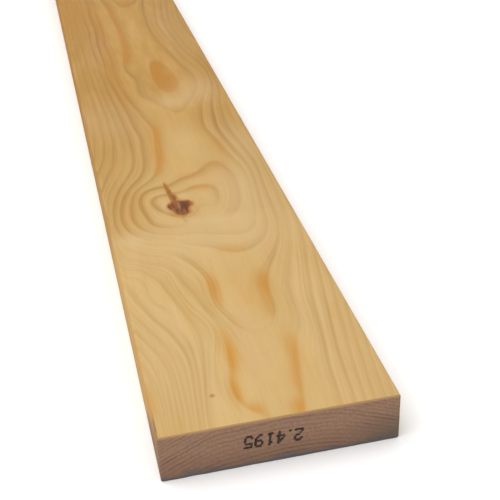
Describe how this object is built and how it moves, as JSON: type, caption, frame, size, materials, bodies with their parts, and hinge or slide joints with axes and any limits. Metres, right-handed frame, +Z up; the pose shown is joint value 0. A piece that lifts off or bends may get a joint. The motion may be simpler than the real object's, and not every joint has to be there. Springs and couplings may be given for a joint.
{
  "type": "lumber plank",
  "caption": "Planed softwood plank of standard section with eased long edges and square-cut ends, for framing, decking and joinery.",
  "frame": {"origin": "middle of the underside, where the plank rests on a level floor", "axes": "+X across the width, +Y along the length away from the marked end, +Z up out of the wide face that shows the large knot"},
  "size_m": [0.195, 2.4, 0.045],
  "materials": {
    "planed_pine": "planed, unfinished"
  },
  "bodies": {
    "root": {"plank": "planed_pine"}
  },
  "joints": []
}
